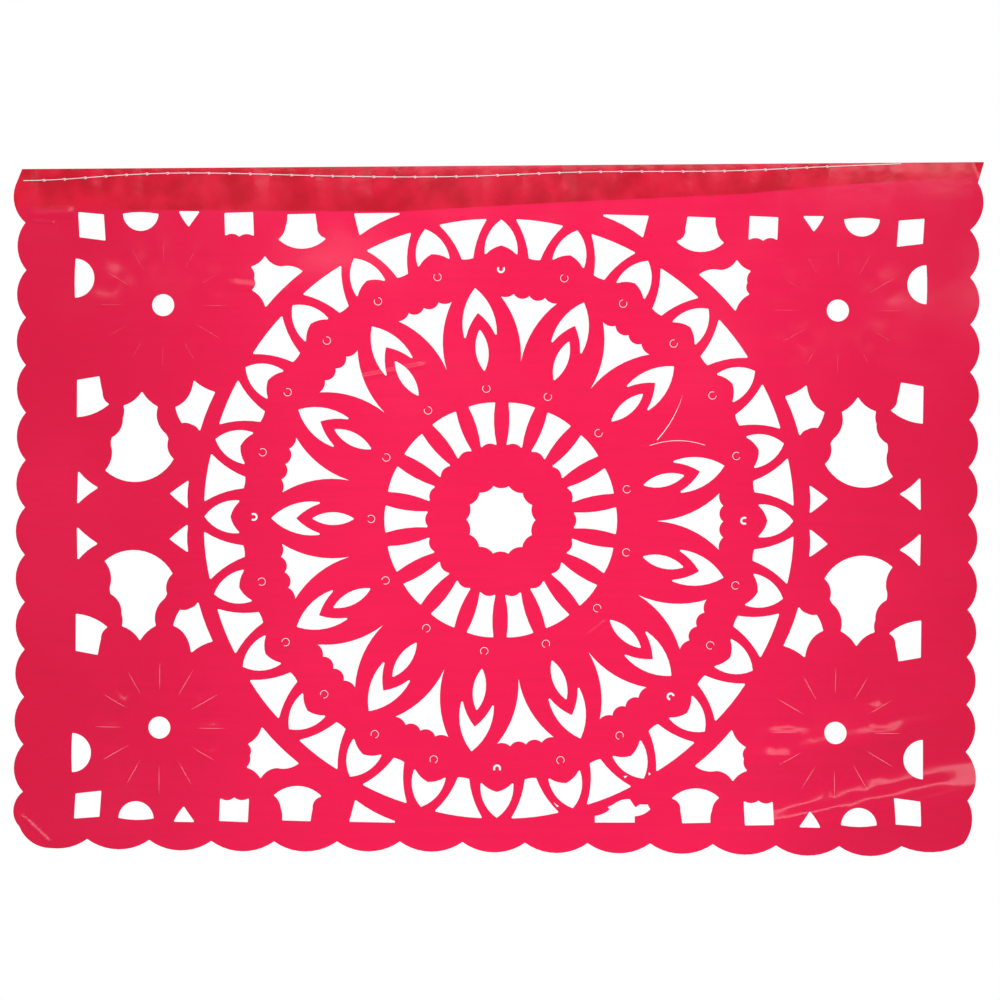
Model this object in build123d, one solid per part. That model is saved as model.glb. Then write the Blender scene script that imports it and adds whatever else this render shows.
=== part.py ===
from build123d import *
import math
import os

os.makedirs("parts", exist_ok=True)

# Papel picado banner: one sheet of thin plastic film, cut through with chisels and punches,
# its top edge turned to the back and sewn down with a two-thread seam. Millimetres.
#
# Everything is laid out flat, face up: X to the right, Y up the panel, Z towards the viewer.
# The last step stands it upright, so that it hangs in the XZ plane with its front towards -Y
# and the origin at the middle of the top fold.

# ---- sizes of the panel --------------------------------------------------------------------
PANEL_W = 450.0           # widest crest of the left side to widest crest of the right side
PANEL_H = 321.5           # middle of the top fold down to the lowest crest
FILM = 0.10               # thickness of the film
FOLD_GAP = 0.30           # free space between the two layers of the hem
HEM_W = 21.3              # widest part of the flap turned to the back
THREAD_D = 0.36           # both sewing threads
STITCH = 9.65             # length of one stitch
THREAD_CLEAR = 0.04       # between thread and film, and between the two threads
CUT_CORNER = 0.45         # corners left by the chisels
SLIT = 0.22               # width of a cut that takes nothing out

# ---- what follows from them ----------------------------------------------------------------
WIDE = PANEL_W / 450.0    # the layout was drawn for a 450 by 321.5 panel
TALL = PANEL_H / 321.5
ROUND = min(WIDE, TALL)   # round figures keep their shape
FOLD_IN = FOLD_GAP / 2
FOLD_OUT = FOLD_IN + FILM
FOLD_SLOPE = 0.0151       # the hem was turned a little askew: the fold climbs to the right
CENTRE = (1.3 * WIDE, -165.3 * TALL)           # middle of the pattern
HUB_SHIFT = (0.9 * ROUND, -0.5 * ROUND)        # the inner rings sit a little off that middle
OVAL = 0.0095             # the rings are cut slightly taller than wide

# ---- small tools for outlines --------------------------------------------------------------


def outline(*steps):
    """Closed wire. A step is a corner, or a pair of points: through the first, arc to the second."""
    start = steps[0]
    here = start
    edges = []
    for step in steps[1:]:
        if isinstance(step[0], tuple):
            edges.append(ThreePointArc(here, step[0], step[1]).edge())
            here = step[1]
        else:
            edges.append(Line(here, step).edge())
            here = step
    if math.dist(here, start) > 1e-6:
        edges.append(Line(here, start).edge())
    return Wire(edges)


def eased(wire, radius):
    """The same outline with its corners rounded."""
    face = Face(wire)
    return face.fillet_2d(radius, face.vertices()).outer_wire()


def mirrored(steps):
    """Upper half of a figure, from its tip to its tail on the X axis, completed by the lower half."""
    whole = list(steps)
    for i in range(len(steps) - 1, 0, -1):
        step = steps[i]
        before = steps[i - 1]
        goal = before[1] if isinstance(before[0], tuple) else before
        if isinstance(step[0], tuple):
            whole.append(((step[0][0], -step[0][1]), (goal[0], -goal[1])))
        else:
            whole.append((goal[0], -goal[1]))
    return whole


def sized(steps, kx, ky):
    """The same steps with every point scaled."""
    done = []
    for step in steps:
        if isinstance(step[0], tuple):
            done.append(tuple((x * kx, y * ky) for x, y in step))
        else:
            done.append((step[0] * kx, step[1] * ky))
    return done


def around(wire, count, first, radius, shift=(0.0, 0.0), skip=()):
    """Copies of a figure drawn on the X axis, set round the middle of the pattern."""
    step = 360.0 / count
    copies = []
    for i in range(count):
        if i in skip:
            continue
        angle = first + i * step
        x = CENTRE[0] + shift[0] - OVAL * radius * math.cos(math.radians(angle))
        y = CENTRE[1] + shift[1] + OVAL * radius * math.sin(math.radians(angle))
        copies.append(Location((x, y, 0), (0, 0, angle)) * wire)
    return copies


# ---- the figures of the mandala, each drawn on the X axis --------------------------------------


def hub_hole():
    """Centre hole with fourteen small bumps of film reaching into it."""
    points = 14
    tip = 16.2 * ROUND
    bump = 14.8 * ROUND
    turn = 2 * math.pi / points
    steps = [(tip, 0.0)]
    for i in range(points):
        middle = (i + 0.5) * turn
        end = (i + 1) * turn
        through = (bump * math.cos(middle), bump * math.sin(middle))
        steps.append((through, (tip * math.cos(end), tip * math.sin(end))))
    steps[-1] = (steps[-1][0], (tip, 0.0))
    x = CENTRE[0] + HUB_SHIFT[0]
    y = CENTRE[1] + HUB_SHIFT[1]
    return Location((x, y, 0)) * outline(*steps)


def slot():
    """Window between two lens-shaped spokes; the hub pushes a bump into its inner end."""
    steps = [
        (34.0, -3.8),
        ((45.1, -4.2), (54.3, -6.4)),
        ((54.9, 0.0), (54.3, 6.4)),
        ((45.1, 4.2), (34.0, 3.8)),
        ((35.8, 0.0), (34.0, -3.8)),
    ]
    return eased(outline(*sized(steps, ROUND, ROUND)), CUT_CORNER)


def petal_eye():
    """Long narrow eye inside a petal."""
    steps = [(69.2, 0.0), ((79.2, 3.0), (89.2, 0.0)), ((79.2, -3.0), (69.2, 0.0))]
    return eased(outline(*sized(steps, ROUND, ROUND)), CUT_CORNER)


def petal_crescent():
    """Arrow-shaped crescent round the outer end of a petal."""
    steps = [(108.4, 0.0), ((96.5, 7.0), (84.2, 7.4)), ((91.5, 4.2), (96.7, 0.0))]
    return eased(outline(*sized(mirrored(steps), ROUND, ROUND)), CUT_CORNER)


def petal_gap():
    """Window between two petals, its outer edge bitten into four small scallops."""
    steps = [
        (74.1, 0.0),
        ((91.7, -4.9), (103.0, -13.2)),
        ((103.1, -10.2), (104.9, -7.4)),
        ((103.1, -3.7), (104.9, 0.0)),
        ((103.1, 3.7), (104.9, 7.4)),
        ((103.1, 10.2), (103.0, 13.2)),
        ((91.7, 4.9), (74.1, 0.0)),
    ]
    return outline(*sized(steps, ROUND, ROUND))


def chevron():
    """Arrowhead pointing outwards in the outer ring."""
    steps = [(138.8, 0.0), ((132.1, 5.9), (122.0, 7.6)), ((125.0, 4.2), (126.7, 0.0))]
    return eased(outline(*sized(mirrored(steps), ROUND, ROUND)), CUT_CORNER)


def ring_window():
    """Flared window between two arrowheads of the outer ring."""
    steps = [
        (121.4, -2.7),
        ((130.3, -5.9), (138.7, -11.4)),
        ((139.3, 0.0), (138.7, 11.4)),
        ((130.3, 5.9), (121.4, 2.7)),
        ((121.1, 0.0), (121.4, -2.7)),
    ]
    return eased(outline(*sized(steps, ROUND, ROUND)), CUT_CORNER)


def punch(radius_out, opening, width):
    """Small round punch that went almost all the way round and left its disc hanging."""
    outer = 1.85 * ROUND
    inner = outer - width
    near = math.radians(opening / 2)
    far = 2 * math.pi - near
    x = radius_out * ROUND
    steps = [
        (x + outer * math.cos(near), outer * math.sin(near)),
        ((x - outer, 0.0), (x + outer * math.cos(far), outer * math.sin(far))),
        (x + inner * math.cos(far), inner * math.sin(far)),
        ((x - inner, 0.0), (x + inner * math.cos(near), inner * math.sin(near))),
    ]
    return outline(*steps)


def uncut_gap():
    """The petal gap that was only scored: two fine cuts and nothing taken out."""
    x = CENTRE[0] + HUB_SHIFT[0]
    y = CENTRE[1] + HUB_SHIFT[1]
    half = SLIT / 2
    side = [(72.9, 37.9 - half), ((79.7, 47.3), (84.6, 59.2)), ((79.5, 47.5), (72.7, 38.0 + half))]
    arc = [(69.3, 35.2), ((79.6, 37.5), (95.1, 35.6)), (95.1, 35.6 + SLIT), ((79.6, 37.5 + SLIT), (69.3, 35.2 + SLIT))]
    return [Location((x, y, 0)) * outline(*sized(s, ROUND, ROUND)) for s in (side, arc)]


# ---- the corner work, drawn for the upper right quarter about the middle of the pattern ------------

SQUARE_CORNER = [(185.1, 128.7), (197.3, 130.2), (198.0, 142.0), (186.0, 141.0)]
HALF_ROUND_TOP = [(160.4, 141.4), ((168.6, 133.4), (177.1, 141.4)), ((168.8, 142.2), (160.4, 141.4))]
POINT_TOP = [(141.0, 142.8), ((143.8, 138.9), (146.2, 135.4)), ((148.9, 138.9), (151.0, 142.8))]
SQUARE_TOP = [
    (116.2, 142.6),
    (115.7, 131.2),
    ((119.2, 132.3), (122.6, 131.0)),
    ((126.0, 132.4), (129.2, 131.2)),
    (129.6, 142.1),
]
BELL_TOP = [
    (87.0, 142.1),
    ((86.6, 138.9), (86.1, 136.3)),
    ((85.2, 132.6), (81.8, 130.6)),
    ((93.2, 125.6), (104.3, 130.0)),
    ((101.9, 132.7), (100.9, 136.1)),
    ((100.2, 138.8), (100.3, 141.7)),
]
LONG_POINT = [(45.0, 142.8), ((55.8, 138.6), (66.3, 132.0)), (69.0, 142.4)]
STAR = [
    (110.4, 122.3),
    ((107.4, 118.8), (102.8, 117.2)),
    ((98.0, 117.4), (92.6, 115.0)),
    ((101.9, 106.8), (110.0, 97.8)),
    ((112.4, 102.8), (116.6, 106.0)),
    ((114.9, 108.6), (115.4, 111.3)),
    ((115.4, 114.4), (117.2, 117.0)),
    ((113.2, 118.9), (110.4, 122.3)),
]
HALF_ROUND_SIDE = [(199.0, 101.8), ((199.3, 111.0), (199.0, 120.2)), ((190.1, 111.0), (199.0, 101.8))]
QUARTER = [
    (197.8, 63.4),
    (187.3, 65.2),
    ((186.6, 61.2), (185.8, 57.6)),
    ((185.0, 54.4), (182.6, 52.2)),
    ((189.3, 48.0), (197.8, 46.0)),
]
DIAMOND = [
    (143.4, 63.9),
    ((138.6, 60.4), (133.2, 58.3)),
    ((137.2, 49.1), (140.3, 39.3)),
    ((141.8, 41.8), (143.9, 42.9)),
    ((146.0, 43.7), (148.7, 43.6)),
    ((150.5, 46.9), (151.8, 51.1)),
    ((148.6, 52.9), (146.1, 55.6)),
    ((144.3, 59.3), (143.4, 63.9)),
]
BELL_SIDE = [
    (167.4, 58.4),
    ((164.6, 54.6), (159.9, 51.2)),
    ((160.2, 45.2), (157.2, 39.6)),
    ((155.6, 37.9), (154.8, 36.2)),
    ((155.1, 31.8), (152.2, 26.8)),
    ((170.6, 15.9), (184.2, 21.2)),
    ((181.4, 26.6), (181.2, 31.4)),
    ((181.7, 34.0), (181.3, 36.6)),
    ((177.6, 40.0), (176.2, 45.8)),
    ((175.6, 48.6), (176.0, 51.6)),
    ((171.2, 54.0), (167.4, 58.4)),
]
POINT_OUTER = [(197.0, 21.2), ((192.6, 16.6), (187.2, 13.1)), ((192.3, 9.6), (197.3, 5.1))]
POINT_INNER = [(144.9, 17.0), ((145.6, 10.4), (145.1, 3.5)), ((149.5, 6.8), (153.8, 10.6)), ((149.3, 14.0), (144.9, 17.0))]
CORNER_WORK = [
    SQUARE_CORNER,
    HALF_ROUND_TOP,
    POINT_TOP,
    SQUARE_TOP,
    BELL_TOP,
    STAR,
    HALF_ROUND_SIDE,
    QUARTER,
    DIAMOND,
    BELL_SIDE,
    POINT_OUTER,
    POINT_INNER,
]
FLOWER = (157.8, 98.7)    # middle of each corner flower
FLOWER_HOLE = 5.15        # radius
PETAL_CUT = (16.4, 32.3)  # each of twelve petal cuts, from and to


def quarter_work(kx, ky):
    """All windows of one quarter; kx and ky are 1 or -1."""
    wires = []
    for steps in CORNER_WORK:
        placed = sized(steps, kx * WIDE, ky * TALL)
        wire = eased(outline(*placed), CUT_CORNER)
        wires.append(Location((CENTRE[0], CENTRE[1], 0)) * wire)
    if not (kx > 0 and ky < 0):
        long_point = eased(outline(*sized(LONG_POINT, kx * WIDE, ky * TALL)), CUT_CORNER)
        wires.append(Location((CENTRE[0], CENTRE[1], 0)) * long_point)
    wires += flower(kx, ky)
    return wires


def flower(kx, ky):
    """Round hole and twelve cuts of a corner flower; the lower flowers have come open."""
    x = CENTRE[0] + FLOWER[0] * WIDE * kx
    y = CENTRE[1] + FLOWER[1] * TALL * ky
    half = SLIT / 2 if ky > 0 else SLIT
    near = PETAL_CUT[0] * ROUND
    far = PETAL_CUT[1] * ROUND
    middle = (near + far) / 2
    cut = outline((near, 0.0), ((middle, half), (far, 0.0)), ((middle, -half), (near, 0.0)))
    wires = [Location((x, y, 0)) * Wire([Edge.make_circle(FLOWER_HOLE * ROUND)])]
    for i in range(12):
        wires.append(Location((x, y, 0), (0, 0, 30.0 * i)) * cut)
    return wires


def torn_work():
    """The long point at the lower right, torn open, and three nicks beside it."""
    torn = [
        (46.0, -141.9),
        (46.0, -138.8),
        ((50.6, -137.4), (53.0, -135.7)),
        (52.0, -134.7),
        (54.8, -133.3),
        ((58.6, -131.3), (62.3, -130.9)),
        (64.2, -133.7),
        (65.1, -134.7),
        (67.0, -133.4),
        (70.7, -133.4),
        (72.0, -135.6),
        ((69.4, -137.6), (64.7, -138.9)),
        (64.7, -141.9),
    ]
    nicks = [
        [(71.0, -118.4), (72.2, -119.0), (71.2, -119.8)],
        [(59.4, -120.2), (61.2, -120.0), (60.0, -121.2)],
        [(26.6, -132.6), (29.0, -134.3), (28.3, -134.8)],
    ]
    wires = [Location((CENTRE[0], CENTRE[1], 0)) * outline(*sized(torn, WIDE, TALL))]
    for steps in nicks:
        wires.append(Location((CENTRE[0], CENTRE[1], 0)) * outline(*sized(steps, ROUND, ROUND)))
    return wires


def pattern():
    """Every window, cut and punch of the panel."""
    turn = 360.0 / 13
    wires = [hub_hole()]
    wires += around(slot(), 18, 0.0, 40 * ROUND, HUB_SHIFT)
    wires += around(punch(61.3, 70, SLIT), 13, 180.0, 61 * ROUND, HUB_SHIFT)
    wires += around(petal_eye(), 13, 180.0, 79 * ROUND, HUB_SHIFT)
    wires += around(petal_crescent(), 13, 180.0, 97 * ROUND, HUB_SHIFT)
    wires += around(petal_gap(), 13, 0.0, 95 * ROUND, HUB_SHIFT, skip=(1,))
    wires += uncut_gap()
    opened = (0, 6, 9, 12, 18)
    closed = tuple(i for i in range(24) if i not in opened)
    wires += around(punch(115.8, 70, SLIT), 24, 180.0, 116 * ROUND, skip=opened)
    wires += around(punch(115.8, 110, 0.9), 24, 180.0, 116 * ROUND, skip=closed)
    wires += around(chevron(), 24, 180.0, 129 * ROUND)
    wires += around(ring_window(), 24, 187.5, 133 * ROUND)
    for kx in (1, -1):
        for ky in (1, -1):
            wires += quarter_work(kx, ky)
    wires += torn_work()
    return wires


# ---- the edge of the panel and the hem ----------------------------------------------------------

SIDE_NOTCH = 220.7        # half width between opposite notches
SIDE_CREST = 225.0        # half width between opposite crests
SIDE_PITCH = 22.2         # from notch to notch down the sides
SIDE_FIRST = 28.5         # depth of the first notch below the fold
FOOT_NOTCH = 190.5        # outermost notch of the bottom edge
FOOT_LOBES = 13
FOLD_LEFT = -223.2        # ends of the fold
FOLD_RIGHT = 226.9


def fold_height(x):
    """Top of the fold above the flat layout, at x."""
    return FOLD_SLOPE * x


def fold_axis(x):
    """Middle line of the rounded fold, at x."""
    return fold_height(x) - FOLD_OUT * math.sqrt(1 + FOLD_SLOPE ** 2)


def panel_edge():
    """Scalloped edge of the hanging part, closed along the fold."""
    notch = SIDE_NOTCH * WIDE
    crest = SIDE_CREST * WIDE
    depths = [-(SIDE_FIRST + SIDE_PITCH * i) * TALL for i in range(13)]
    foot = -316.8 * TALL
    left = FOLD_LEFT * WIDE
    right = FOLD_RIGHT * WIDE
    steps = [(left, fold_axis(left)), (-225.3 * WIDE, -9.0 * TALL)]
    steps.append(((-227.0 * WIDE, -16.4 * TALL), (-221.4 * WIDE, depths[0])))
    for upper, lower in zip(depths, depths[1:]):
        steps.append(((-crest, (upper + lower) / 2), (-notch, lower)))
    steps.append(((-225.0 * WIDE, -303.0 * TALL), (-222.0 * WIDE, -311.0 * TALL)))
    steps.append(((-216.4 * WIDE, -318.1 * TALL), (-207.0 * WIDE, -321.2 * TALL)))
    steps.append(((-198.2 * WIDE, -320.6 * TALL), (-FOOT_NOTCH * WIDE, foot)))
    pitch = 2 * FOOT_NOTCH * WIDE / FOOT_LOBES
    for i in range(FOOT_LOBES):
        x = -FOOT_NOTCH * WIDE + pitch * (i + 1)
        steps.append(((x - pitch / 2, -PANEL_H), (x, foot)))
    steps.append(((203.0 * WIDE, -319.4 * TALL), (219.2 * WIDE, -315.2 * TALL)))
    steps.append(((223.2 * WIDE, -304.0 * TALL), (notch, depths[-1])))
    for lower, upper in zip(depths[::-1], depths[-2::-1]):
        steps.append(((crest, (upper + lower) / 2), (notch, upper)))
    steps.append(((226.8 * WIDE, -17.0 * TALL), (224.2 * WIDE, -6.4 * TALL)))
    steps.append((right, fold_axis(right)))
    return outline(*steps)


def flap_edge():
    """The hem flap seen from the front: narrow at the right, where it was turned askew."""
    left = FOLD_LEFT * WIDE
    right = FOLD_RIGHT * WIDE
    widths = [(-222.6, 0.85), (-199.0, 0.90), (-46.0, 1.0), (30.0, 0.82), (113.0, 0.67), (175.0, 0.44), (224.6, 0.33)]
    steps = [(left, fold_axis(left))]
    for x, share in widths:
        steps.append((x * WIDE, fold_height(x * WIDE) - HEM_W * share))
    steps.append((right, fold_axis(right)))
    return outline(*steps)


def fold_strip():
    """The turn of the film itself: half a fine tube from end to end of the fold."""
    start = Vector(FOLD_LEFT * WIDE, fold_axis(FOLD_LEFT * WIDE), 0)
    end = Vector(FOLD_RIGHT * WIDE, fold_axis(FOLD_RIGHT * WIDE), 0)
    along = (end - start).normalized()
    up = Vector(-along.Y, along.X, 0)
    ring = outline(
        (0.0, FOLD_OUT),
        ((FOLD_OUT, 0.0), (0.0, -FOLD_OUT)),
        (0.0, -FOLD_IN),
        ((FOLD_IN, 0.0), (0.0, FOLD_IN)),
    )
    section = Plane(origin=start, x_dir=up, z_dir=along) * Face(ring)
    return extrude(section, amount=(end - start).length, dir=along)


# ---- the seam ------------------------------------------------------------------------------------

SEAM = [
    (-222.4, 5.5),
    (-206.0, 5.1),
    (-174.0, 3.1),
    (-90.0, 4.0),
    (-8.0, 4.8),
    (36.0, 3.4),
    (113.0, 3.2),
    (140.0, 2.2),
    (168.0, 1.1),
]                         # along the panel, and depth below the fold
SEAM_END = (188.0, 0.55)  # where the thread leaves the hem over the fold


def seam_points():
    """The seam line, needle hole by needle hole, as point and direction."""
    line = Spline(*[(x * WIDE, fold_height(x * WIDE) - depth) for x, depth in SEAM])
    count = int(line.length / STITCH)
    points = []
    for i in range(1, count):
        share = i * STITCH / line.length
        points.append((line @ share, (line % share).normalized()))
    return points


def needle_hole_radius():
    """The needle thread passes every hole twice, once on each side of the bobbin thread."""
    return THREAD_D + THREAD_CLEAR + THREAD_D / 2 + THREAD_CLEAR


def rounded_path(points, radii):
    """A run through points in space with every corner turned on its own radius."""
    edges = []
    here = points[0]
    for i in range(1, len(points) - 1):
        corner = points[i]
        back = (points[i - 1] - corner).normalized()
        onward = (points[i + 1] - corner).normalized()
        half = back.get_angle(onward) / 2
        if half > 89.9:
            continue
        reach = radii[i] / math.tan(math.radians(half))
        first = corner + back * reach
        last = corner + onward * reach
        inward = (back + onward).normalized()
        middle = corner + inward * (radii[i] / math.sin(math.radians(half)) - radii[i])
        edges.append(Line(here, first).edge())
        edges.append(ThreePointArc(first, middle, last).edge())
        here = last
    edges.append(Line(here, points[-1]).edge())
    return Wire(edges)


def run_thread(path):
    """A round thread along a path."""
    start = Plane(origin=path @ 0, z_dir=path % 0)
    return sweep(start * Circle(THREAD_D / 2), path=path).solid()


def needle_thread():
    """Long stitches on the front; at each hole the thread loops behind round the bobbin thread."""
    front = FOLD_OUT + THREAD_CLEAR + THREAD_D / 2
    side = THREAD_D + THREAD_CLEAR
    behind = -front - side
    lead = 3 * THREAD_D
    first = Vector(SEAM[0][0] * WIDE, fold_height(SEAM[0][0] * WIDE) - SEAM[0][1], front)
    last = Vector(SEAM_END[0] * WIDE, fold_height(SEAM_END[0] * WIDE) - SEAM_END[1], front)
    points = [first]
    radii = [0.0]
    for place, along in seam_points():
        across = Vector(-along.Y, along.X, 0)
        base = Vector(place.X, place.Y, 0)
        points.append(base - along * lead + Vector(0, 0, front))
        points.append(base + across * side + Vector(0, 0, front))
        points.append(base + across * side + Vector(0, 0, behind))
        points.append(base - across * side + Vector(0, 0, behind))
        points.append(base - across * side + Vector(0, 0, front))
        points.append(base + along * lead + Vector(0, 0, front))
        radii += [1.2 * THREAD_D, 0.6 * THREAD_D, 0.98 * side, 0.98 * side, 0.6 * THREAD_D, 1.2 * THREAD_D]
    points.append(last)
    radii.append(0.0)
    return run_thread(rounded_path(points, radii))


def bobbin_thread():
    """Runs along the back of the flap through every loop of the needle thread."""
    level = -(FOLD_OUT + THREAD_CLEAR + THREAD_D / 2)
    points = [Vector(SEAM[0][0] * WIDE, fold_height(SEAM[0][0] * WIDE) - SEAM[0][1], level)]
    points += [Vector(place.X, place.Y, level) for place, along in seam_points()]
    points.append(Vector(SEAM_END[0] * WIDE, fold_height(SEAM_END[0] * WIDE) - SEAM_END[1], level))
    return run_thread(rounded_path(points, [2.0] * len(points)))


# ---- the three pieces ------------------------------------------------------------------------------


def banner_sheet():
    """Front, fold and flap of the one film, with the needle holes through both layers."""
    holes = []
    for place, along in seam_points():
        circle = Wire([Edge.make_circle(needle_hole_radius())])
        holes.append(Location((place.X, place.Y, 0)) * circle)
    front = Location((0, 0, FOLD_IN)) * Face(panel_edge(), pattern() + holes)
    flap = Location((0, 0, -FOLD_OUT)) * Face(flap_edge(), holes)
    front_layer = extrude(front, amount=FILM, dir=(0, 0, 1))
    back_layer = extrude(flap, amount=FILM, dir=(0, 0, 1))
    return (front_layer + fold_strip() + back_layer).solid()


UPRIGHT = Location(Plane.XZ)

export_step(UPRIGHT * banner_sheet(), "parts/banner_sheet.step")
export_step(UPRIGHT * needle_thread(), "parts/needle_thread.step")
export_step(UPRIGHT * bobbin_thread(), "parts/bobbin_thread.step")
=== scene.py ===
import bpy
import math
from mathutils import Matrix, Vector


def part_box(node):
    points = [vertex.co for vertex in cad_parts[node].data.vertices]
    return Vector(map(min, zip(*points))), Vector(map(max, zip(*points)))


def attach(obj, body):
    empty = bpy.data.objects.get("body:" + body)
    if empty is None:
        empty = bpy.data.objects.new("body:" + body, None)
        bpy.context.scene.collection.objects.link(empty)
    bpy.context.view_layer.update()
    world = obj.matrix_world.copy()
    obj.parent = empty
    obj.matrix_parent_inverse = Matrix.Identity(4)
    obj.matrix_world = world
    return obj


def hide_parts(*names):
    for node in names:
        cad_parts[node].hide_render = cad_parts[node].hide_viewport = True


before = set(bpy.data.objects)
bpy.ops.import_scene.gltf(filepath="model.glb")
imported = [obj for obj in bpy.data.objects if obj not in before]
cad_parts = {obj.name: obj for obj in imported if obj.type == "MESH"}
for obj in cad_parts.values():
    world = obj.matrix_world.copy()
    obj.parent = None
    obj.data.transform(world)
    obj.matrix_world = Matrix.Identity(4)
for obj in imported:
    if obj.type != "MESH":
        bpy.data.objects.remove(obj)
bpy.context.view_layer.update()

# Papel picado banner, hanging in the XZ plane with its front towards -Y. Metres.

GRID = 0.006                       # the film bends at every 6 mm
HEM_FOOT = -0.0235                 # below this the film hangs free of the hem
STITCH = 0.00965                   # one stitch of the seam
MIDDLE = (0.0013, -0.1653)         # middle of the pattern
FLOWERS = (0.1578, 0.0987)         # corner flowers, right and up from that middle
PETAL_CUTS = (0.0163, 0.0324)      # the flowers' cuts run from here out to here
CUT_HALF = 0.00025                 # half the width of such a cut
# free edge of the hem flap: share of the width, and depth below the origin
FLAP = (
    (0.0, 0.0215), (0.053, 0.0222), (0.395, 0.0220), (0.565, 0.0170),
    (0.75, 0.0126), (0.89, 0.0067), (1.0, 0.0036),
)
FLAP_FROM, FLAP_TO = -0.2226, 0.2246
FLAP_SCALE = 0.03                  # the flap's depths as shares of this

# waves of the hanging film: height, length, how they run across and down, start
WAVES = (
    (0.0016, 0.310, 1.0, 0.0, 0.8),
    (0.0011, 0.145, 1.0, 0.35, 2.1),
    (0.0006, 0.105, -0.2, 1.0, 0.0),
)
FOLD_HEIGHT, FOLD_LENGTH = 0.0024, 0.040
CURL = 0.0040                      # the lower right corner curls forward by this

# creases pressed into the film: start, end, width, height
CREASES = (
    ((-0.069, -0.1010), (-0.031, -0.0930), 0.0022, 0.55),
    ((0.042, -0.221), (0.053, -0.212), 0.0018, 0.40),
    ((-0.2225, -0.305), (-0.206, -0.3205), 0.0020, 0.60),
    ((-0.221, -0.0245), (-0.197, -0.0235), 0.0040, 0.60),
    ((-0.219, -0.0275), (-0.207, -0.0285), 0.0012, 0.50),
    ((0.110, -0.2800), (0.224, -0.2550), 0.0060, 0.80),
    ((0.120, -0.3080), (0.222, -0.2830), 0.0050, 0.80),
    ((0.004, -0.0730), (0.060, -0.0700), 0.0030, 0.25),
    ((-0.130, -0.0560), (-0.095, -0.0600), 0.0035, 0.30),
)

FUCHSIA = (0.89, 0.005, 0.088, 1.0)
# painted shade for the film's darker sides
SHADED_EDGE_FUCHSIA = (0.71, 0.003, 0.056, 1.0)
PALE_FUCHSIA = (0.94, 0.022, 0.120, 1.0)
STREAK_FUCHSIA = (0.55, 0.006, 0.045, 1.0)
HEM_RED = (0.60, 0.002, 0.020, 1.0)
# lighter pink of painted reflection patches on the hem
HEM_REFLECTION_PINK = (0.76, 0.004, 0.040, 1.0)
# painted shade in the grooves between the thread's plies
THREAD_GROOVE_SHADE = (0.62, 0.50, 0.51, 1.0)
THREAD_WHITE = (0.93, 0.88, 0.88, 1.0)
THREAD_PINK_TINT = (0.86, 0.70, 0.72, 1.0)
WHITE = (1.0, 1.0, 1.0, 1.0)

CAMERA_LENS, CAMERA_FILM = 85.0, 36.0
VIEW_WIDTH = 0.468                 # what the camera takes in at the banner


# ---- the film's shape ------------------------------------------------------------------------


def rise(value, start, end):
    """0 at start, 1 at end, with a soft turn at both."""
    share = min(1.0, max(0.0, (value - start) / (end - start)))
    return share * share * (3 - 2 * share)


def hill(x, z, cx, cz, rx, rz):
    """A round bulge that fades out to nothing."""
    return math.exp(-((x - cx) / rx) ** 2 - ((z - cz) / rz) ** 2)


def from_flower(x, z, side, level):
    """A place's distance and direction from the middle of a corner flower."""
    fx = x - MIDDLE[0] - side * FLOWERS[0]
    fz = z - MIDDLE[1] - level * FLOWERS[1]
    return math.hypot(fx, fz), math.atan2(fz, fx)


def waves(x, z):
    free = rise(-z, -HEM_FOOT, 0.085)
    lag = 0.0
    for height, length, run_x, run_z, start in WAVES:
        lag += height * math.sin(2 * math.pi * (run_x * x + run_z * z) / length + start) * free
    return lag


def lower_right_corner(x, z):
    """Soft diagonal folds left by its packing, and a curl at its very tip."""
    across = -0.25 * (x - 0.17) + 0.97 * (z + 0.292)
    fold = hill(x, z, 0.172, -0.292, 0.085, 0.036) * rise(-z, 0.20, 0.26)
    lag = FOLD_HEIGHT * math.sin(2 * math.pi * across / FOLD_LENGTH + 0.4) * fold
    return lag - CURL * rise(x, 0.185, 0.227) * rise(-z, 0.27, 0.325)


def lower_left_corner(x, z):
    """It was folded over once and opened again."""
    crease = (x + 0.2145) * 0.66 + (z + 0.3090) * 0.75
    return -0.22 * max(0.0, -crease) * rise(-z, 0.27, 0.29) * rise(-x, 0.18, 0.20)


def flower_lifts(x, z):
    """The petals stand up a little between their cuts, more so on the lower flowers."""
    lag = 0.0
    for side in (-1, 1):
        for level, lift in ((1, 0.0004), (-1, 0.0014)):
            reach, turn = from_flower(x, z, side, level)
            ring = math.exp(-((reach - 0.025) / 0.0075) ** 2)
            lag += lift * ring * (math.sin(6 * turn) ** 2 - 0.5)
    return lag


def slack(x, z):
    """How far the hanging film stands from its flat place, towards the back."""
    return waves(x, z) + lower_right_corner(x, z) + lower_left_corner(x, z) + flower_lifts(x, z)


def facing(x, z):
    """Which way the front of the slack film faces at a place."""
    step = 0.0004
    here = slack(x, z)
    lean_x = (slack(x + step, z) - here) / step
    lean_z = (slack(x, z + step) - here) / step
    size = math.sqrt(1 + lean_x * lean_x + lean_z * lean_z)
    return lean_x / size, -1 / size, lean_z / size


def closed_cut(x, z):
    """The petal cuts of the corner flowers lie nearly shut, the lower ones a little less."""
    between_cuts = math.radians(30)
    for side in (-1, 1):
        for level, shut in ((1, 0.88), (-1, 0.84)):
            reach, turn = from_flower(x, z, side, level)
            if not PETAL_CUTS[0] < reach < PETAL_CUTS[1]:
                continue
            near = round(turn / between_cuts) * between_cuts
            off = reach * math.sin(turn - near)
            if abs(off) < CUT_HALF:
                x += shut * off * math.sin(near)
                z -= shut * off * math.cos(near)
    return x, z


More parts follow.
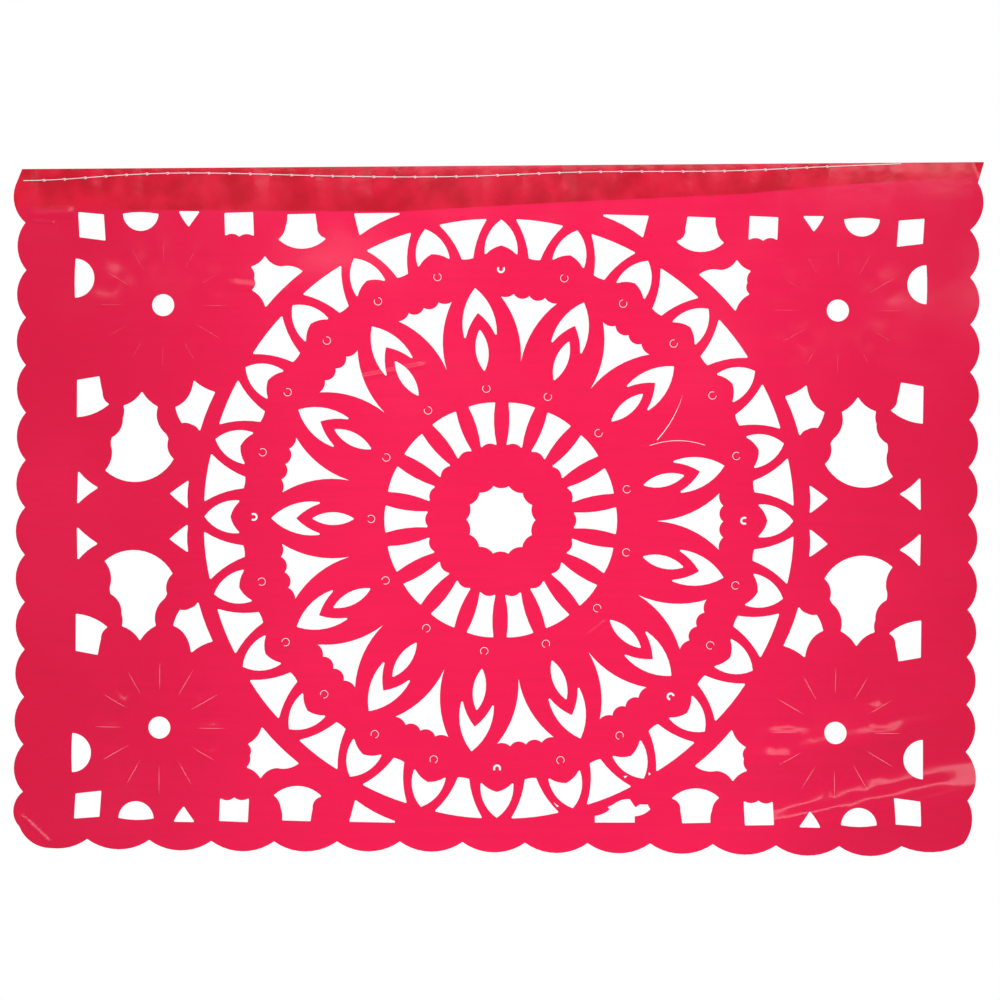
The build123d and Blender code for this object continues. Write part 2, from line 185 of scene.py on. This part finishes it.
def cut_grid(low, high):
    """Lines across the open film's skin, kept as seams so that the film can bend there."""
    for axis, normal in ((0, (1, 0, 0)), (2, (0, 0, 1))):
        steps = int((high[axis] - low[axis]) / GRID)
        for i in range(1, steps + 1):
            place = [0.0, 0.0, 0.0]
            place[axis] = low[axis] + i * (high[axis] - low[axis]) / (steps + 1)
            if axis == 2 and place[axis] > HEM_FOOT:
                continue
            bpy.ops.mesh.select_all(action="SELECT")
            bpy.ops.mesh.bisect(plane_co=place, plane_no=normal)
            bpy.ops.mesh.mark_seam()


def smooth_faces(film):
    """Light runs over front and back as over one curved film; rims and the fold keep their own."""
    mesh = film.data
    fronts = [facing(v.co.x, v.co.z) for v in mesh.vertices]
    normals = [tuple(corner.vector) for corner in mesh.corner_normals]
    for face in mesh.polygons:
        if abs(face.normal.y) < 0.8 or face.center.z > HEM_FOOT:
            continue
        way = 1 if face.normal.y < 0 else -1
        for i in face.loop_indices:
            a, b, c = fronts[mesh.loops[i].vertex_index]
            normals[i] = (way * a, way * b, way * c)
    mesh.normals_split_custom_set(normals)


def make_film():
    """The cut film as one thin closed skin that bends in soft waves."""
    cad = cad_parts["banner_sheet"]
    film = cad.copy()
    film.data = cad.data.copy()
    film.name = "cut_film"
    film.data.name = "cut_film"
    bpy.context.scene.collection.objects.link(film)
    bpy.ops.object.select_all(action="DESELECT")
    film.select_set(True)
    bpy.context.view_layer.objects.active = film
    bpy.ops.object.mode_set(mode="EDIT")
    bpy.ops.mesh.select_all(action="SELECT")
    bpy.ops.mesh.remove_doubles(threshold=0.000004)
    cut_grid(*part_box("banner_sheet"))
    bpy.ops.mesh.select_all(action="SELECT")
    bpy.ops.mesh.dissolve_limited(angle_limit=math.radians(0.5), delimit={"SEAM"})
    bpy.ops.mesh.select_all(action="SELECT")
    bpy.ops.mesh.quads_convert_to_tris()
    bpy.ops.mesh.mark_seam(clear=True)
    bpy.ops.object.mode_set(mode="OBJECT")
    for vertex in film.data.vertices:
        vertex.co.x, vertex.co.z = closed_cut(vertex.co.x, vertex.co.z)
        vertex.co.y += slack(vertex.co.x, vertex.co.z)
    bpy.ops.object.shade_smooth_by_angle(angle=math.radians(28))
    smooth_faces(film)
    return film


# ---- finishes ----------------------------------------------------------------------------------


class Nodes:
    """Short ways to add the nodes of one finish."""

    def __init__(self, name):
        self.finish = bpy.data.materials.new(name)
        self.finish.use_nodes = True
        self.tree = self.finish.node_tree
        self.skin = self.tree.nodes["Principled BSDF"]
        self.out = self.tree.nodes["Material Output"]
        self.place = self.tree.nodes.new("ShaderNodeTexCoord").outputs["Object"]

    def join(self, value, socket):
        if isinstance(value, (int, float, tuple)):
            socket.default_value = value
        else:
            self.tree.links.new(value, socket)

    def math(self, kind, a, b=0.0):
        node = self.tree.nodes.new("ShaderNodeMath")
        node.operation = kind
        self.join(a, node.inputs[0])
        self.join(b, node.inputs[1])
        return node.outputs[0]

    def moved(self, scale, turn=(0.0, 0.0, 0.0)):
        node = self.tree.nodes.new("ShaderNodeMapping")
        self.join(self.place, node.inputs["Vector"])
        node.inputs["Scale"].default_value = scale
        node.inputs["Rotation"].default_value = turn
        return node.outputs[0]

    def noise(self, scale, detail=3.0, vector=None):
        node = self.tree.nodes.new("ShaderNodeTexNoise")
        self.join(vector or self.place, node.inputs["Vector"])
        node.inputs["Scale"].default_value = scale
        node.inputs["Detail"].default_value = detail
        return node.outputs["Fac"]

    def between(self, value, a, b, to_a=0.0, to_b=1.0, soft=True):
        node = self.tree.nodes.new("ShaderNodeMapRange")
        node.interpolation_type = "SMOOTHSTEP" if soft else "LINEAR"
        self.join(value, node.inputs["Value"])
        for name, number in (("From Min", a), ("From Max", b), ("To Min", to_a), ("To Max", to_b)):
            node.inputs[name].default_value = number
        return node.outputs[0]

    def mix(self, share, a, b):
        node = self.tree.nodes.new("ShaderNodeMix")
        node.data_type = "RGBA"
        self.join(share, node.inputs[0])
        self.join(a, node.inputs[6])
        self.join(b, node.inputs[7])
        return node.outputs[2]

    def bump(self, height, distance, strength=1.0):
        node = self.tree.nodes.new("ShaderNodeBump")
        self.join(height, node.inputs["Height"])
        node.inputs["Distance"].default_value = distance
        node.inputs["Strength"].default_value = strength
        return node.outputs[0]


def crease_height(n, x, z, start, end, width):
    """A fine ridge pressed into the film from start to end."""
    length = math.dist(start, end)
    ux, uz = (end[0] - start[0]) / length, (end[1] - start[1]) / length
    dx = n.math("SUBTRACT", x, start[0])
    dz = n.math("SUBTRACT", z, start[1])
    along = n.math("ADD", n.math("MULTIPLY", dx, ux), n.math("MULTIPLY", dz, uz))
    aside = n.math("SUBTRACT", n.math("MULTIPLY", dx, uz), n.math("MULTIPLY", dz, ux))
    ridge = n.between(n.math("ABSOLUTE", aside), width, 0.0)
    near_end = n.between(along, 0.0, length * 0.2)
    far_end = n.between(along, length, length * 0.8)
    return n.math("MULTIPLY", ridge, n.math("MULTIPLY", near_end, far_end))


def flap_behind(n, x, z):
    """1 where the flap lies behind the front and the film is double, 0 below its free edge."""
    ramp = n.tree.nodes.new("ShaderNodeValToRGB")
    n.join(n.between(x, FLAP_FROM, FLAP_TO, soft=False), ramp.inputs[0])
    stops = ramp.color_ramp.elements
    while len(stops) < len(FLAP):
        stops.new(0.5)
    for stop, (at, depth) in zip(stops, FLAP):
        grey = depth / FLAP_SCALE
        stop.position = at
        stop.color = (grey, grey, grey, 1.0)
    above = n.math("ADD", z, n.math("MULTIPLY", ramp.outputs[0], FLAP_SCALE))
    return n.between(above, -0.0002, 0.0004)


def film_colour(n, x, z):
    """Painted shade: brightest in the middle, deeper to the sides; cloudy, with faint streaks, and redder
    where double.
    """
    cloud = n.noise(9.0, 4.0)
    streak = n.noise(1.0, 3.0, n.moved((14.0, 14.0, 320.0)))
    # Painted shade: the film darkens towards its left and right sides.
    side = n.between(n.math("ABSOLUTE", n.math("SUBTRACT", x, 0.01)), 0.06, 0.225)
    shade = n.mix(side, FUCHSIA, SHADED_EDGE_FUCHSIA)
    shade = n.mix(n.between(cloud, 0.45, 0.75, 0.0, 0.22), shade, PALE_FUCHSIA)
    shade = n.mix(n.between(streak, 0.35, 0.7, 0.0, 0.10), shade, STREAK_FUCHSIA)
    # The double hem's deeper red is its own colour; its lighter pink blotches are painted reflection.
    hem_reflection_blotch = n.between(n.noise(70.0, 4.0), 0.35, 0.65)
    hem = n.mix(hem_reflection_blotch, HEM_RED, HEM_REFLECTION_PINK)
    return n.mix(flap_behind(n, x, z), shade, hem)


def film_relief(n, x, z):
    """Puckers under the seam, the film's own fine grain, and its creases."""
    stitches = n.math("SINE", n.math("MULTIPLY", x, 2 * math.pi / STITCH))
    rough = n.math("ADD", stitches, n.math("MULTIPLY", n.noise(160.0, 4.0), 3.0))
    band = n.math("MULTIPLY", n.between(z, -0.024, -0.010), n.between(z, 0.004, -0.002))
    relief = n.math("MULTIPLY", n.math("MULTIPLY", rough, band), 0.07)
    relief = n.math("ADD", relief, n.math("MULTIPLY", n.noise(26.0, 2.0), 0.7))
    relief = n.math("ADD", relief, n.math("MULTIPLY", n.noise(420.0, 2.0), 0.02))
    for start, end, width, height in CREASES:
        ridge = crease_height(n, x, z, start, end, width)
        relief = n.math("ADD", relief, n.math("MULTIPLY", ridge, height))
    return relief


def film_finish():
    """Thin glossy fuchsia film: lets light through, darker where it lies double."""
    n = Nodes("fuchsia_film")
    split = n.tree.nodes.new("ShaderNodeSeparateXYZ")
    n.join(n.place, split.inputs[0])
    x, z = split.outputs["X"], split.outputs["Z"]

    shade = film_colour(n, x, z)
    n.join(shade, n.skin.inputs["Base Color"])
    n.join(n.between(n.noise(35.0, 3.0), 0.3, 0.7, 0.12, 0.22), n.skin.inputs["Roughness"])
    n.skin.inputs["IOR"].default_value = 1.45
    n.skin.inputs["Specular IOR Level"].default_value = 0.27
    n.join(n.bump(film_relief(n, x, z), 0.0011, 0.55), n.skin.inputs["Normal"])

    glow = n.tree.nodes.new("ShaderNodeBsdfTranslucent")
    n.join(shade, glow.inputs["Color"])
    blend = n.tree.nodes.new("ShaderNodeMixShader")
    blend.inputs[0].default_value = 0.30
    n.tree.links.new(n.skin.outputs[0], blend.inputs[1])
    n.tree.links.new(glow.outputs[0], blend.inputs[2])
    n.tree.links.new(blend.outputs[0], n.out.inputs["Surface"])
    return n.finish


def thread_finish(name):
    """Soft white thread, its plies wound slantwise, with painted shade in the grooves between them."""
    n = Nodes(name)
    ply = n.tree.nodes.new("ShaderNodeTexWave")
    n.join(n.moved((1.0, 1.0, 1.0), (0.0, math.radians(35), 0.0)), ply.inputs["Vector"])
    ply.inputs["Scale"].default_value = 900.0
    ply.inputs["Distortion"].default_value = 1.5
    fuzz = n.noise(2600.0, 3.0)
    # Painted shade darkens the grooves between the plies.
    shade = n.mix(ply.outputs["Fac"], THREAD_GROOVE_SHADE, THREAD_WHITE)
    # Pinkish patches over the thread.
    shade = n.mix(n.between(fuzz, 0.3, 0.8, 0.0, 0.35), shade, THREAD_PINK_TINT)
    n.join(shade, n.skin.inputs["Base Color"])
    n.skin.inputs["Roughness"].default_value = 0.75
    n.skin.inputs["Sheen Weight"].default_value = 0.25
    n.join(n.bump(n.math("ADD", ply.outputs["Fac"], fuzz), 0.00006), n.skin.inputs["Normal"])
    return n.finish


# ---- the studio ----------------------------------------------------------------------------------


def white_for_viewer(tree, plain, white):
    """What the camera, gloss and see-through film see is plain white; the rest is lit as usual."""
    path = tree.nodes.new("ShaderNodeLightPath")
    seen = path.outputs["Is Camera Ray"]
    for name in ("Is Glossy Ray", "Is Transmission Ray"):
        either = tree.nodes.new("ShaderNodeMath")
        either.operation = "MAXIMUM"
        tree.links.new(seen, either.inputs[0])
        tree.links.new(path.outputs[name], either.inputs[1])
        seen = either.outputs[0]
    blend = tree.nodes.new("ShaderNodeMixShader")
    tree.links.new(seen, blend.inputs[0])
    tree.links.new(plain, blend.inputs[1])
    tree.links.new(white, blend.inputs[2])
    return blend.outputs[0]


def set_world():
    world = bpy.data.worlds.new("studio")
    bpy.context.scene.world = world
    world.use_nodes = True
    tree = world.node_tree
    plain = tree.nodes["Background"]
    plain.inputs["Color"].default_value = WHITE
    plain.inputs["Strength"].default_value = 0.78
    white = tree.nodes.new("ShaderNodeBackground")
    white.inputs["Color"].default_value = WHITE
    white.inputs["Strength"].default_value = 1.0
    seen = white_for_viewer(tree, plain.outputs[0], white.outputs[0])
    tree.links.new(seen, tree.nodes["World Output"].inputs["Surface"])


def set_floor():
    bpy.ops.object.select_all(action="DESELECT")
    bpy.ops.mesh.primitive_plane_add(size=12.0, location=(0.0, 0.0, -0.75))
    floor = bpy.context.object
    floor.name = "studio_floor"
    finish = bpy.data.materials.new("studio_floor")
    finish.use_nodes = True
    tree = finish.node_tree
    skin = tree.nodes["Principled BSDF"]
    skin.inputs["Base Color"].default_value = (0.9, 0.9, 0.9, 1.0)
    skin.inputs["Roughness"].default_value = 0.8
    white = tree.nodes.new("ShaderNodeEmission")
    white.inputs["Strength"].default_value = 1.0
    seen = white_for_viewer(tree, skin.outputs[0], white.outputs[0])
    tree.links.new(seen, tree.nodes["Material Output"].inputs["Surface"])
    floor.data.materials.append(finish)


def add_lamp(name, place, target, size, power):
    data = bpy.data.lights.new(name, "AREA")
    data.shape = "RECTANGLE"
    data.size, data.size_y = size
    data.energy = power
    lamp = bpy.data.objects.new(name, data)
    bpy.context.scene.collection.objects.link(lamp)
    lamp.location = place
    aim = [t - p for t, p in zip(target, place)]
    flat = math.hypot(aim[0], aim[1])
    lamp.rotation_euler = (math.atan2(flat, -aim[2]), 0.0, math.atan2(-aim[0], aim[1]))


def set_camera():
    data = bpy.data.cameras.new("front_camera")
    data.lens = CAMERA_LENS
    data.sensor_width = CAMERA_FILM
    camera = bpy.data.objects.new("front_camera", data)
    bpy.context.scene.collection.objects.link(camera)
    camera.location = (0.0017, -VIEW_WIDTH * CAMERA_LENS / CAMERA_FILM, -0.1565)
    camera.rotation_euler = (math.radians(90), math.radians(-0.45), 0.0)
    bpy.context.scene.camera = camera


# ---- putting it together ---------------------------------------------------------------------------

set_camera()
film = make_film()
film.data.materials.clear()
film.data.materials.append(film_finish())
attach(film, "root")
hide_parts("banner_sheet")

for node, name in (("needle_thread", "seam_thread"), ("bobbin_thread", "seam_thread_behind")):
    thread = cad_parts[node]
    thread.data.materials.clear()
    thread.data.materials.append(thread_finish(name))

set_world()
set_floor()
add_lamp("key_strip", (0.35, -1.5, 0.50), (0.10, 0.0, -0.20), (1.6, 0.30), 13.0)
add_lamp("soft_front", (-1.3, -1.5, 1.1), (0.0, 0.0, -0.16), (1.2, 1.2), 8.0)

bpy.context.scene.view_settings.view_transform = "Standard"
